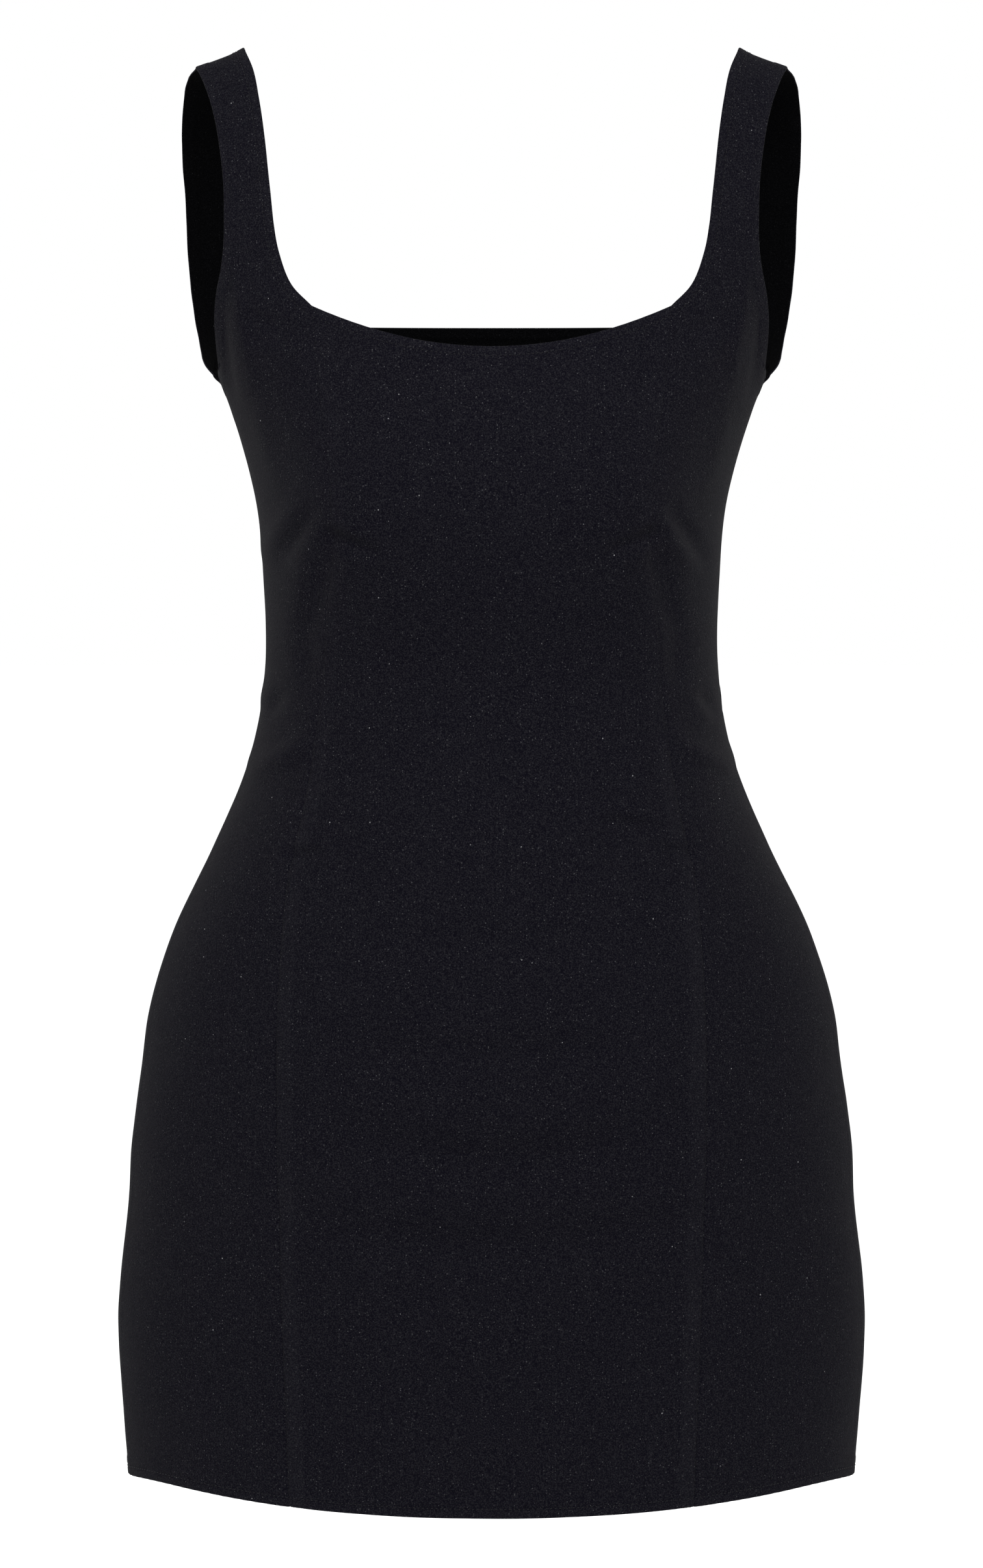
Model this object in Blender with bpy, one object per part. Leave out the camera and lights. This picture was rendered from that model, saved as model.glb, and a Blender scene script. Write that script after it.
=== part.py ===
"""Bodycon mini dress, empty and filled out as it is when worn.

Six panels of stretch crepe, each a closed cloth wall: a centre and two sides in front, and the
same behind. The side panels run up into the shoulder straps, which meet at a shoulder seam.
Metres, +Z up, the front faces -Y, and left and right are the wearer's (left is +X).
The origin is midway between the straps, level with the underside of their highest points.
"""
from collections import namedtuple

import bmesh
import bpy
import numpy as np

MM = 0.001

# ---- Driving dimensions, in millimetres ----
WALL = 1.5                # thickness of the cloth wall
SEAM_GAP = 0.3            # clear space between two panels at a seam
LENGTH = 815.0            # top of the strap to the hem, straight down
ARMHOLE_DEPTH = 188.0     # top of the strap to the underarm
STRAP_INNER = 139.5       # inner edge of a strap from the centre line, at the shoulder seam
STRAP_OUTER = 167.0       # outer edge of a strap from the centre line, at the shoulder seam
SHOULDER_SLOPE = 0.33     # fall of the shoulder seam for each unit outwards
SHOULDER_LIFT = 1.8       # a strap's inner edge stands up this much over the shoulder seam
SHOULDER_LIFT_WIDTH = 6.0
SHOULDER_REACH = 120.0    # how far down the shoulder's slope is still felt
FRONT_NECK_DEPTH = 172.0  # top of the strap to the middle of the front neckline
FRONT_NECK_RADIUS = 222.0 # arc of the front neckline's scoop
BACK_NECK_DEPTH = 152.0   # top of the strap to the straight back neckline
FRONT_SEAM_TOP = 98.5     # where a front princess seam meets the neckline, from the centre line
BACK_SEAM_TOP = 95.0      # the same behind
BACK_FLARE = 36.0         # how much wider the back's upper sections are than the front's
BACK_FLARE_POWER = 6.0
BUST_RISE = 8.0           # soft fullness that the princess seams shape over the bust
BUST_OUT = 85.0
BUST_DROP = 258.0
BUST_SPREAD = 38.0
BUST_HEIGHT = 42.0
HEM_BOW = 6.5             # the hem bows up between the centre and the side seams
HEM_BOW_ONSET = 2         # powers of the share of the half width: how the bow sets in,
HEM_BOW_RETURN = 14       # and how keenly it comes back at the side seam
HEM_BOW_REACH = 120.0     # how far above the hem it is still felt

# Sections of the filled dress, from the shoulder down. drop: below the top of the strap.
# half_width, front and back: from the middle of the section to its side, front and back.
# flat: 2 is an oval, more is flatter across the middle. round: 2 is a round side, 1 a keen one.
Section = namedtuple("Section", "drop half_width front back flat round")
SECTIONS = (
    Section(0, 188.0, 0, 0, 2.4, 1.9),
    Section(3, 188.0, 19, 20, 2.4, 1.9),
    Section(14, 187.5, 37, 41, 2.4, 1.9),
    Section(36, 186.0, 55, 62, 2.4, 1.9),
    Section(70, 182.5, 71, 78, 2.4, 1.9),
    Section(110, 177.0, 85, 88, 2.4, 1.9),
    Section(150, 167.5, 95, 94, 2.4, 1.9),
    Section(188, 153.4, 104, 96, 2.5, 1.9),
    Section(222, 141.8, 110, 95, 2.6, 1.9),
    Section(260, 132.7, 112, 91, 2.6, 1.9),
    Section(300, 129.7, 106, 86, 2.5, 1.9),
    Section(347, 128.8, 96, 82, 2.4, 1.9),
    Section(400, 137.5, 97, 90, 2.3, 1.8),
    Section(450, 158.2, 102, 104, 2.2, 1.7),
    Section(500, 182.0, 105, 117, 2.2, 1.6),
    Section(548, 196.6, 107, 121, 2.2, 1.5),
    Section(575, 200.2, 107, 119, 2.2, 1.5),
    Section(600, 204.0, 107, 117, 2.2, 1.5),
    Section(625, 207.0, 106, 114, 2.2, 1.5),
    Section(650, 208.2, 106, 111, 2.2, 1.5),
    Section(700, 213.5, 105, 106, 2.2, 1.5),
    Section(720, 214.9, 105, 105, 2.2, 1.5),
    Section(740, 214.7, 104, 103, 2.2, 1.5),
    Section(780, 212.1, 104, 102, 2.2, 1.5),
    Section(815, 209.5, 104, 101, 2.2, 1.5),
)


def front_neck_drop(out):
    """The front neckline's scoop: an arc, deepest on the centre line."""
    return FRONT_NECK_DEPTH - FRONT_NECK_RADIUS + (FRONT_NECK_RADIUS ** 2 - out ** 2) ** 0.5


# Seams and neckline edges: how far from the centre line they run at each drop.
Reach = namedtuple("Reach", "drop out")
FRONT_SEAM = (
    Reach(LENGTH, 112.5), Reach(680, 117), Reach(590, 119), Reach(510, 117), Reach(465, 113),
    Reach(422, 103.5), Reach(372, 95.5), Reach(320, 91), Reach(270, 87.5), Reach(235, 89),
    Reach(190, 95), Reach(front_neck_drop(FRONT_SEAM_TOP), FRONT_SEAM_TOP),
)
FRONT_STRAP_EDGE = (
    Reach(front_neck_drop(FRONT_SEAM_TOP), FRONT_SEAM_TOP), Reach(137, 110), Reach(120, 116.7),
    Reach(104, 120), Reach(86, 122.2), Reach(57, 125.7), Reach(34.5, 129.2), Reach(17, 133),
    Reach(0, STRAP_INNER),
)
BACK_SEAM = (
    Reach(LENGTH, 93), Reach(650, 97), Reach(545, 98), Reach(460, 90), Reach(400, 80),
    Reach(347, 76), Reach(300, 80), Reach(220, 89), Reach(BACK_NECK_DEPTH, BACK_SEAM_TOP),
)
BACK_STRAP_EDGE = (
    Reach(BACK_NECK_DEPTH, BACK_SEAM_TOP), Reach(151.7, 110), Reach(149, 121), Reach(140, 129),
    Reach(125, 134), Reach(90, 137), Reach(45, 139), Reach(0, STRAP_INNER),
)

# Armhole edges: degrees round the section from the side seam at each drop.
Turn = namedtuple("Turn", "drop degrees")
FRONT_ARMHOLE = (
    Turn(ARMHOLE_DEPTH, 0), Turn(186.5, 5), Turn(179, 12.5), Turn(167, 18.5), Turn(152, 24),
    Turn(139, 28.7), Turn(127, 32.8), Turn(112, 35.8), Turn(95, 37.3), Turn(76, 38),
    Turn(58, 37.8), Turn(39, 36.9), Turn(20, 34.7), Turn(5, 31.5),
)
BACK_ARMHOLE = (
    Turn(ARMHOLE_DEPTH, 0), Turn(186.5, 5), Turn(177, 14), Turn(168.5, 22), Turn(160.5, 26.8),
    Turn(150, 30.4), Turn(131, 34.2), Turn(113, 36.3), Turn(82, 38.4), Turn(52, 39.2),
    Turn(30, 40.1), Turn(12, 41.5), Turn(4.5, 42.6), Turn(1.3, 43.8),
)

# ---- Mesh density ----
BODY_ROWS = 27            # cells from the hem to the neckline and underarm
STRAP_ROWS = 13           # cells from there to the shoulder seam
CENTRE_COLUMNS = 14       # cells across a centre panel
SIDE_COLUMNS = 8          # cells across a side panel
FINE = 400                # steps used to measure lengths on the form
READ_STEPS = 4000         # steps in which the section table is read
NUDGE_TURN = 0.004        # small steps round and down the form, from which its normal is taken
NUDGE_STATION = 0.4
SCOOP_REACH = 160.0       # how far below a neckline the rows still follow its curve
SHARP_ANGLE = 40.0        # edges keener than this, in degrees, are shaded sharp

CREPE_COLOUR = (0.0103, 0.0097, 0.0130, 1.0)
CREPE_ROUGHNESS = 0.78


def smooth_through(knots, rows, at):
    """Read a curve through rows, at the places 'at', with each slope taken from the neighbours."""
    slopes = np.gradient(rows, knots, axis=0)
    low = np.clip(np.searchsorted(knots, at) - 1, 0, len(knots) - 2)
    span = knots[low + 1] - knots[low]
    part = (at - knots[low]) / span
    part, span = part[:, None], span[:, None]
    rise = part * part * (3 - 2 * part)
    leave = part * (1 - part) ** 2 * span
    arrive = part * part * (part - 1) * span
    return rows[low] * (1 - rise) + rows[low + 1] * rise + slopes[low] * leave + slopes[low + 1] * arrive


def fine_sections():
    """The section table read finely, against the station: the length down the front profile."""
    rows = np.array(SECTIONS, dtype=float)
    steps = np.hypot(np.diff(rows[:, 0]), np.diff(rows[:, 2]))
    stations = np.concatenate(([0.0], np.cumsum(steps)))
    over_the_top = rows[1] * np.array([1, 1, -1, -1, 1, 1])
    rows = np.vstack((over_the_top, rows))
    stations = np.concatenate(([-stations[1]], stations))
    at = np.linspace(0.0, stations[-1], READ_STEPS)
    return at, smooth_through(stations, rows, at)


STATIONS, FINE_SECTIONS = fine_sections()


def size_at(name, station):
    """One column of the section table at any station."""
    return np.interp(np.abs(station), STATIONS, FINE_SECTIONS[:, Section._fields.index(name)])


def station_of(drop):
    return np.interp(drop, FINE_SECTIONS[:, 0], STATIONS)


def half_width_at(face, station):
    drop = size_at("drop", station)
    width = size_at("half_width", station)
    if face == "back":
        width = width + BACK_FLARE * (1 - np.minimum(drop / ARMHOLE_DEPTH, 1) ** BACK_FLARE_POWER)
    return width


def soft_step(value):
    value = np.clip(value, 0.0, 1.0)
    return value * value * (3 - 2 * value)


def form_point(face, turn, station):
    """A point on the outside of the dress: 'turn' radians round from the left side seam."""
    drop = size_at("drop", station)
    across = np.cos(turn)
    width = half_width_at(face, station)
    x = width * np.sign(across) * np.abs(across) ** (2 / size_at("flat", station))
    depth = size_at(face, station) * np.sign(station)
    round_side = np.sin(turn)
    y = depth * np.sign(round_side) * np.abs(round_side) ** (2 / size_at("round", station))
    if face == "front":
        near = np.exp(-((np.abs(x) - BUST_OUT) / BUST_SPREAD) ** 2)
        near = near * np.exp(-((drop - BUST_DROP) / BUST_HEIGHT) ** 2)
        y = -y - BUST_RISE * near * np.tanh(y / BUST_SPREAD)
    aside = np.abs(x) - STRAP_INNER
    lift = SHOULDER_LIFT * (1 - np.exp(-np.maximum(aside, 0) / SHOULDER_LIFT_WIDTH))
    fall = (SHOULDER_SLOPE * aside + lift) * (1 - soft_step(drop / SHOULDER_REACH))
    share = np.abs(x) / width
    bow = share ** HEM_BOW_ONSET - share ** HEM_BOW_RETURN
    bow = HEM_BOW * bow * soft_step(1 - (LENGTH - drop) / HEM_BOW_REACH)
    z = WALL - drop - fall + bow
    return np.stack(np.broadcast_arrays(x, y, z), axis=-1)


def outward(face, turn, station):
    """The unit normal of the form, pointing out of the dress."""
    ahead, behind = turn + NUDGE_TURN, turn - NUDGE_TURN
    below, above = station + NUDGE_STATION, station - NUDGE_STATION
    along = form_point(face, ahead, station) - form_point(face, behind, station)
    down = form_point(face, turn, below) - form_point(face, turn, above)
    normal = np.cross(along, down)
    if face == "back":
        normal = -normal
    return normal / np.linalg.norm(normal, axis=-1, keepdims=True)


def turn_at(face, out, station):
    """The turn at which a section reaches 'out' from the centre line."""
    share = np.clip(out / half_width_at(face, station), 0.0, 1.0)
    return np.arccos(share ** (size_at("flat", station) / 2))


def evenly(face, turns, stations, count):
    """The path through these turns and stations, as count + 1 places evenly spaced along it."""
    points = form_point(face, turns, stations)
    steps = np.linalg.norm(np.diff(points, axis=0), axis=1)
    length = np.concatenate(([0.0], np.cumsum(steps)))
    wanted = np.linspace(0.0, length[-1], count + 1)
    return np.interp(wanted, length, turns), np.interp(wanted, length, stations)


def fine_path(rows):
    """A smooth, finely stepped curve through the rows of a two-column table."""
    rows = np.array(rows, dtype=float)
    knots = np.concatenate(([0.0], np.cumsum(np.hypot(*np.diff(rows, axis=0).T))))
    return smooth_through(knots, rows, np.linspace(0.0, knots[-1], FINE)).T


def reach_path(face, rows, count):
    drops, outs = fine_path(rows)
    stations = station_of(drops)
    return evenly(face, turn_at(face, outs, stations), stations, count)


def armhole_path(face, rows, count):
    """The armhole's edge from the underarm up to the outer end of the shoulder seam."""
    top = Turn(0, np.degrees(turn_at(face, STRAP_OUTER, 0.0)))
    drops, degrees = fine_path(rows + (top,))
    return evenly(face, np.radians(degrees), station_of(drops), count)


def side_seam_path(face, count):
    stations = np.linspace(station_of(LENGTH), station_of(ARMHOLE_DEPTH), FINE)
    return evenly(face, np.zeros(FINE), stations, count)


def joined(lower, upper):
    """Two paths end to end; the place they share is kept once."""
    return tuple(np.concatenate((first, second[1:])) for first, second in zip(lower, upper))


def side_grid(face, seam, strap_edge, armhole):
    """Turns and stations of a side panel: rows from the hem up, columns from seam to side."""
    inner = joined(reach_path(face, seam, BODY_ROWS), reach_path(face, strap_edge, STRAP_ROWS))
    outer = joined(side_seam_path(face, BODY_ROWS), armhole_path(face, armhole, STRAP_ROWS))
    share = np.linspace(0.0, 1.0, FINE)
    rows = []
    for turn_in, station_in, turn_out, station_out in zip(*inner, *outer):
        turns = turn_in + (turn_out - turn_in) * share
        stations = station_in + (station_out - station_in) * share
        rows.append(evenly(face, turns, stations, SIDE_COLUMNS))
    return np.array(rows)


def centre_grid(face, seam, neck_drop):
    """The same for a centre panel, whose upper rows bend with the neckline."""
    seam_turns, seam_stations = reach_path(face, seam, BODY_ROWS)
    share = np.linspace(0.0, 1.0, FINE)
    top_turns = np.pi - seam_turns[-1] + (2 * seam_turns[-1] - np.pi) * share
    top_points = form_point(face, top_turns, np.full(FINE, seam_stations[-1]))
    dip = neck_drop(np.abs(top_points[:, 0])) - seam[-1].drop
    dip = dip - dip[0]
    rows = []
    for turn, station in zip(seam_turns, seam_stations):
        drop = size_at("drop", station)
        bend = soft_step(1 - (drop - seam[-1].drop) / SCOOP_REACH)
        turns = np.pi - turn + (2 * turn - np.pi) * share
        rows.append(evenly(face, turns, station_of(drop + bend * dip), CENTRE_COLUMNS))
    return np.array(rows)


def part_at_seams(outer, inner, columns):
    """Draw the edge columns back from their seams, along the cloth, by half the gap."""
    for edge, neighbour in columns:
        back = outer[:, neighbour] - outer[:, edge]
        back = back / np.linalg.norm(back, axis=1, keepdims=True) * SEAM_GAP / 2
        outer[:, edge] += back
        inner[:, edge] += back


def cloth_wall(face, grid, seam_columns):
    """Outer and inner points of a panel, in millimetres."""
    turns, stations = grid[:, 0], grid[:, 1]
    outer = form_point(face, turns, stations)
    inner = outer - outward(face, turns, stations) * WALL
    part_at_seams(outer, inner, seam_columns)
    return outer, inner


def side_wall(face, grid):
    """A side panel's wall, mitred along the side seam and the shoulder seam, which lie in y = 0."""
    outer, inner = cloth_wall(face, grid, [(0, 1)])
    behind = 1 if face == "back" else -1
    for points in (outer, inner):
        points[:BODY_ROWS + 1, -1, 1] = behind * SEAM_GAP / 2
        points[-1, :, 1] = behind * SEAM_GAP / 2
    return outer, inner


def centre_wall(face, grid):
    return cloth_wall(face, grid, [(0, 1), (-1, -2)])


def crepe(name):
    material = bpy.data.materials.new(name)
    material.use_nodes = True
    shader = material.node_tree.nodes["Principled BSDF"]
    shader.inputs["Base Color"].default_value = CREPE_COLOUR
    shader.inputs["Roughness"].default_value = CREPE_ROUGHNESS
    shader.inputs["Metallic"].default_value = 0.0
    return material


def add_panel(name, outer, inner, mirrored=False):
    """One closed panel: its two faces, with a strip of cloth thickness round its edge."""
    rows, columns = outer.shape[:2]
    points = np.concatenate((outer.reshape(-1, 3), inner.reshape(-1, 3))) * MM
    if mirrored:
        points[:, 0] *= -1

    def corner(row, column, layer):
        return (layer * rows + row) * columns + column

    faces = []
    for layer in (0, 1):
        for row in range(rows - 1):
            for column in range(columns - 1):
                faces.append([corner(row, column, layer), corner(row, column + 1, layer),
                              corner(row + 1, column + 1, layer), corner(row + 1, column, layer)])
    rim = [(0, column) for column in range(columns - 1)]
    rim += [(row, columns - 1) for row in range(rows - 1)]
    rim += [(rows - 1, column) for column in range(columns - 1, 0, -1)]
    rim += [(row, 0) for row in range(rows - 1, 0, -1)]
    for here, there in zip(rim, rim[1:] + rim[:1]):
        faces.append([corner(*here, 0), corner(*there, 0), corner(*there, 1), corner(*here, 1)])

    mesh = bpy.data.meshes.new(name)
    mesh.from_pydata(points.tolist(), [], faces)
    work = bmesh.new()
    work.from_mesh(mesh)
    bmesh.ops.recalc_face_normals(work, faces=work.faces)
    work.to_mesh(mesh)
    work.free()
    mesh.shade_smooth()
    mesh.set_sharp_from_angle(angle=np.radians(SHARP_ANGLE))
    mesh.materials.append(crepe(name + "_crepe"))
    panel = bpy.data.objects.new(name, mesh)
    bpy.context.scene.collection.objects.link(panel)
    return panel


def back_neck_drop(out):
    """The back neckline: straight across."""
    return np.full_like(out, BACK_NECK_DEPTH)


def build():
    for old in list(bpy.data.objects):
        bpy.data.objects.remove(old, do_unlink=True)
    front_side = side_wall("front", side_grid("front", FRONT_SEAM, FRONT_STRAP_EDGE, FRONT_ARMHOLE))
    back_side = side_wall("back", side_grid("back", BACK_SEAM, BACK_STRAP_EDGE, BACK_ARMHOLE))
    front_centre = centre_wall("front", centre_grid("front", FRONT_SEAM, front_neck_drop))
    back_centre = centre_wall("back", centre_grid("back", BACK_SEAM, back_neck_drop))
    add_panel("front_centre", *front_centre)
    add_panel("front_side_left", *front_side)
    add_panel("front_side_right", *front_side, mirrored=True)
    add_panel("back_centre", *back_centre)
    add_panel("back_side_left", *back_side)
    add_panel("back_side_right", *back_side, mirrored=True)


build()
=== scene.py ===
"""Looks of a black bodycon mini dress, empty and filled out as it is when worn.

Each panel is a thin shell of stretch crepe on the form of its CAD solid. It carries the turned
edges, the seams with their allowances, the creases and the rows of stitches.
The form and the relief are in millimetres in the row frame: +Z up, the front faces -Y, and left
and right are the wearer's (left is +X). Meshes, lights and camera are in metres.
"""
from collections import namedtuple

import bpy
import numpy as np
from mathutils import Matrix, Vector, kdtree, noise


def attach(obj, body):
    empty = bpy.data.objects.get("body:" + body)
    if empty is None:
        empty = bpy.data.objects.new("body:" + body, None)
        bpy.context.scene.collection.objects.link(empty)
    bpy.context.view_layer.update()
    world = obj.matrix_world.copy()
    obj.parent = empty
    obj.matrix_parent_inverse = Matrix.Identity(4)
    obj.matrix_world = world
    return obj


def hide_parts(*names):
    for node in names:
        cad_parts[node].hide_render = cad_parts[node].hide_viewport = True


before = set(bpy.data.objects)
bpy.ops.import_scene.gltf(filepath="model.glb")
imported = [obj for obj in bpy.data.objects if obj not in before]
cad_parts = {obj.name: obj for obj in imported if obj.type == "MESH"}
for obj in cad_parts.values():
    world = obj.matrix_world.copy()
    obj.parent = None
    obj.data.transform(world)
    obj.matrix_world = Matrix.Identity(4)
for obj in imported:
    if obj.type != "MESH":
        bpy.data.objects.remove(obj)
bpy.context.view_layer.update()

MM = 0.001

# ---- The form, as the CAD part has it, in millimetres ----
WALL = 1.5
LENGTH = 815.0            # from the top of the strap straight down to the hem
ARMHOLE_DEPTH = 188.0
STRAP_INNER = 139.5       # the strap's edges at the shoulder seam, from the centre line
STRAP_OUTER = 167.0
SHOULDER_SLOPE = 0.33     # fall of the shoulder for each millimetre outwards
SHOULDER_LIFT = 1.8       # the strap's inner edge stands this much over the rest of it
SHOULDER_LIFT_WIDTH = 6.0
SHOULDER_REACH = 120.0    # drop at which the shoulder's fall has gone
FRONT_NECK_DEPTH = 172.0
FRONT_NECK_RADIUS = 222.0
BACK_NECK_DEPTH = 152.0
FRONT_SEAM_TOP = 98.5     # where a princess seam meets the neckline, from the centre line
BACK_SEAM_TOP = 95.0
BACK_FLARE = 36.0         # the back's sections are this much wider at the top of the strap
BACK_FLARE_POWER = 6.0
BUST_RISE = 8.0           # fullness of each side of the bust, and where its middle is
BUST_OUT = 85.0
BUST_DROP = 258.0
BUST_SPREAD = 38.0
BUST_HEIGHT = 42.0
HEM_BOW = 6.5             # sets how far the hem rises between the centre and a side seam
HEM_BOW_ONSET = 2
HEM_BOW_RETURN = 14
HEM_BOW_REACH = 120.0

# Sections of the filled dress. drop: below the top of the strap. half_width, front and back: from
# the middle to its side, front and back. flat and round: the exponents of its front and side.
Section = namedtuple("Section", "drop half_width front back flat round")
SECTIONS = (
    Section(0, 188.0, 0, 0, 2.4, 1.9),
    Section(3, 188.0, 19, 20, 2.4, 1.9),
    Section(14, 187.5, 37, 41, 2.4, 1.9),
    Section(36, 186.0, 55, 62, 2.4, 1.9),
    Section(70, 182.5, 71, 78, 2.4, 1.9),
    Section(110, 177.0, 85, 88, 2.4, 1.9),
    Section(150, 167.5, 95, 94, 2.4, 1.9),
    Section(188, 153.4, 104, 96, 2.5, 1.9),
    Section(222, 141.8, 110, 95, 2.6, 1.9),
    Section(260, 132.7, 112, 91, 2.6, 1.9),
    Section(300, 129.7, 106, 86, 2.5, 1.9),
    Section(347, 128.8, 96, 82, 2.4, 1.9),
    Section(400, 137.5, 97, 90, 2.3, 1.8),
    Section(450, 158.2, 102, 104, 2.2, 1.7),
    Section(500, 182.0, 105, 117, 2.2, 1.6),
    Section(548, 196.6, 107, 121, 2.2, 1.5),
    Section(575, 200.2, 107, 119, 2.2, 1.5),
    Section(600, 204.0, 107, 117, 2.2, 1.5),
    Section(625, 207.0, 106, 114, 2.2, 1.5),
    Section(650, 208.2, 106, 111, 2.2, 1.5),
    Section(700, 213.5, 105, 106, 2.2, 1.5),
    Section(720, 214.9, 105, 105, 2.2, 1.5),
    Section(740, 214.7, 104, 103, 2.2, 1.5),
    Section(780, 212.1, 104, 102, 2.2, 1.5),
    Section(815, 209.5, 104, 101, 2.2, 1.5),
)


def front_neck_drop(out):
    """The front neckline's scoop: an arc, deepest on the centre line."""
    return FRONT_NECK_DEPTH - FRONT_NECK_RADIUS + (FRONT_NECK_RADIUS ** 2 - out ** 2) ** 0.5


def back_neck_drop(out):
    """The back neckline: straight across."""
    return np.full_like(out, BACK_NECK_DEPTH)


# Seams and neckline edges: how far from the centre line they run at each drop.
Reach = namedtuple("Reach", "drop out")
FRONT_SEAM = (
    Reach(LENGTH, 112.5), Reach(680, 117), Reach(590, 119), Reach(510, 117), Reach(465, 113),
    Reach(422, 103.5), Reach(372, 95.5), Reach(320, 91), Reach(270, 87.5), Reach(235, 89),
    Reach(190, 95), Reach(front_neck_drop(FRONT_SEAM_TOP), FRONT_SEAM_TOP),
)
FRONT_STRAP_EDGE = (
    Reach(front_neck_drop(FRONT_SEAM_TOP), FRONT_SEAM_TOP), Reach(137, 110), Reach(120, 116.7),
    Reach(104, 120), Reach(86, 122.2), Reach(57, 125.7), Reach(34.5, 129.2), Reach(17, 133),
    Reach(0, STRAP_INNER),
)
BACK_SEAM = (
    Reach(LENGTH, 93), Reach(650, 97), Reach(545, 98), Reach(460, 90), Reach(400, 80),
    Reach(347, 76), Reach(300, 80), Reach(220, 89), Reach(BACK_NECK_DEPTH, BACK_SEAM_TOP),
)
BACK_STRAP_EDGE = (
    Reach(BACK_NECK_DEPTH, BACK_SEAM_TOP), Reach(151.7, 110), Reach(149, 121), Reach(140, 129),
    Reach(125, 134), Reach(90, 137), Reach(45, 139), Reach(0, STRAP_INNER),
)

# Armhole edges: degrees round the section from the side seam at each drop.
Turn = namedtuple("Turn", "drop degrees")
FRONT_ARMHOLE = (
    Turn(ARMHOLE_DEPTH, 0), Turn(186.5, 5), Turn(179, 12.5), Turn(167, 18.5), Turn(152, 24),
    Turn(139, 28.7), Turn(127, 32.8), Turn(112, 35.8), Turn(95, 37.3), Turn(76, 38),
    Turn(58, 37.8), Turn(39, 36.9), Turn(20, 34.7), Turn(5, 31.5),
)
BACK_ARMHOLE = (
    Turn(ARMHOLE_DEPTH, 0), Turn(186.5, 5), Turn(177, 14), Turn(168.5, 22), Turn(160.5, 26.8),
    Turn(150, 30.4), Turn(131, 34.2), Turn(113, 36.3), Turn(82, 38.4), Turn(52, 39.2),
    Turn(30, 40.1), Turn(12, 41.5), Turn(4.5, 42.6), Turn(1.3, 43.8),
)

# ---- The cloth, in millimetres ----
CLOTH = 0.9               # thickness of one layer of crepe
GROOVE_DEPTH = 0.5        # how far the cloth dives into a seam
GROOVE_WIDTH = 1.1
APPROACH_DEPTH = 0.05     # the softer fall of the cloth towards a seam
APPROACH_WIDTH = 3.6
SEAM_SHOWS_LEAST = 0.25   # share of a seam's relief that is left above the waist
SEAM_SHOWS_DROP = 330.0   # drop at which it starts to grow
SEAM_SHOWS_REACH = 120.0  # and the length in which it gets to the whole
PRESSED_LAYERS = 1.4      # a princess seam's allowances, both pressed towards the centre
OPEN_LAYERS = 0.8         # a side seam's allowance, pressed open
BAND_WIDTH = 8.5          # a seam allowance shows through as a faint raised band this wide
BAND_RISE = 0.3
BAND_EDGE = 2.6
BAND_UNEVEN = 0.3         # the band comes and goes by this share, in waves of two lengths
BAND_WAVES = (17.0, 41.0)
TURN_RISE = 0.3           # a turned edge stands up this much
TURN_EDGE = 1.6
NECK_TURN = 6.7           # widths of cloth turned under along the edges
ARMHOLE_TURN = 7.0
HEM_TURN = 9.6
NECK_STITCH = 5.3         # from the edge to the row of stitches
HEM_STITCH = 5.4
CHANNEL_DEPTH = 0.32      # stitches pull the cloth down into a fine channel
CHANNEL_WIDTH = 0.75
RIM = 0.16                # what is left of the thickness at the very edge
PALEST_FROM_EDGE = 2.2          # from an edge to the line where the cloth is palest
PALE_BAND_WIDTH = 2.0
SWAY = 0.34               # soft unevenness of the whole surface
SWAY_LENGTH = 46.0
RIPPLE = 0.07
RIPPLE_LENGTH = 15.0

# ---- Stitches, in millimetres ----
STITCH_PITCH = 2.5
STITCH_LENGTH = 1.7
STITCH_RADIUS = 0.28
THREAD_SIDES = 6
STITCH_SINK = 0.3         # its tips are below the outer face
STITCH_LIFT = 0.1         # and its middle is over it

# ---- Mesh density, in millimetres ----
FINE_STEP = 0.32          # grid step at an edge
COARSE_STEP = 2.5         # and away from it
GRADE_REACH = 15.0        # over which one becomes the other
MEASURE_STEPS = 400       # places by which lengths on the form are measured
READ_STEPS = 4000         # steps in which the section table is read
NUDGE_TURN = 0.004        # small steps round and down the form, from which its normal is taken
NUDGE_STATION = 0.4
SCOOP_REACH = 160.0       # how far below a neckline the rows still follow its curve
NOMINAL_CENTRE = 225.0    # rough lengths, from which the number of grid lines comes
NOMINAL_SIDE = 125.0
NOMINAL_BODY = 690.0
NOMINAL_STRAP = 180.0


def smooth_through(knots, rows, at):
    """Read a curve through rows, at the places 'at', with each slope taken from the neighbours."""
    slopes = np.gradient(rows, knots, axis=0)
    low = np.clip(np.searchsorted(knots, at) - 1, 0, len(knots) - 2)
    span = knots[low + 1] - knots[low]
    part = (at - knots[low]) / span
    part, span = part[:, None], span[:, None]
    rise = part * part * (3 - 2 * part)
    leave = part * (1 - part) ** 2 * span
    arrive = part * part * (part - 1) * span
    straight = rows[low] * (1 - rise) + rows[low + 1] * rise
    return straight + slopes[low] * leave + slopes[low + 1] * arrive


def fine_sections():
    """The section table read finely, against the station: the length down the front profile."""
    rows = np.array(SECTIONS, dtype=float)
    steps = np.hypot(np.diff(rows[:, 0]), np.diff(rows[:, 2]))
    stations = np.concatenate(([0.0], np.cumsum(steps)))
    # One row over the top of the strap, where the depths are on the other side, leads in.
    over_the_top = rows[1] * np.array([1, 1, -1, -1, 1, 1])
    rows = np.vstack((over_the_top, rows))
    stations = np.concatenate(([-stations[1]], stations))
    at = np.linspace(0.0, stations[-1], READ_STEPS)
    return at, smooth_through(stations, rows, at)


STATIONS, FINE_SECTIONS = fine_sections()


def size_at(name, station):
    """One column of the section table at any station."""
    return np.interp(np.abs(station), STATIONS, FINE_SECTIONS[:, Section._fields.index(name)])


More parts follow.
